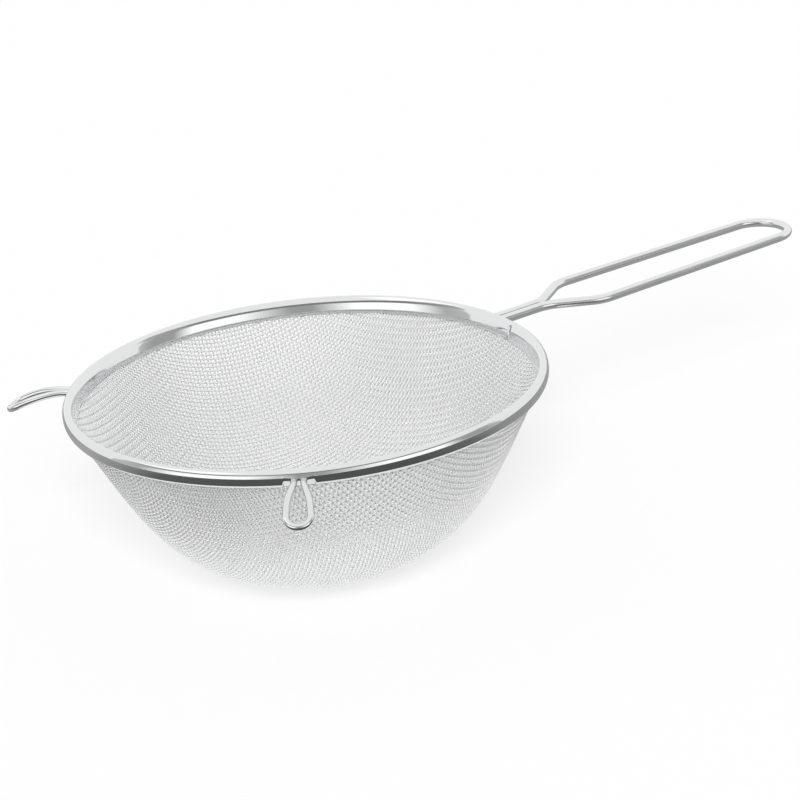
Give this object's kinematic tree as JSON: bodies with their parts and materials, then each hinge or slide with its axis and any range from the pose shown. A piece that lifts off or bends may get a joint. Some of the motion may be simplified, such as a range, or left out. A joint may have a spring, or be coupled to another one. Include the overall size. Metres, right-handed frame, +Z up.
{
  "type": "sieve",
  "caption": "Round woven-wire kitchen sieve with a rolled steel rim, a looped wire handle and bent wire rest ears that hook over a bowl or pot.",
  "frame": {"origin": "under the middle of the bowl, on the flat that the lowest wires are worn to", "axes": "+X from the bowl's middle along the handle, +Z up through the open mouth"},
  "size_m": [0.368, 0.2061, 0.0831],
  "materials": {
    "wire_cloth": "bright woven stainless wire",
    "rim_steel": "polished rolled stainless strip",
    "hoop_steel": "plain drawn steel wire",
    "handle_steel": "bright drawn stainless wire",
    "ear_steel": "bright drawn stainless wire"
  },
  "bodies": {
    "root": {"mesh_bowl": "wire_cloth", "rim_band": "rim_steel", "hoop_wire": "hoop_steel", "handle_wire": "handle_steel", "rest_ear_left": "ear_steel", "rest_ear_right": "ear_steel"}
  },
  "joints": []
}
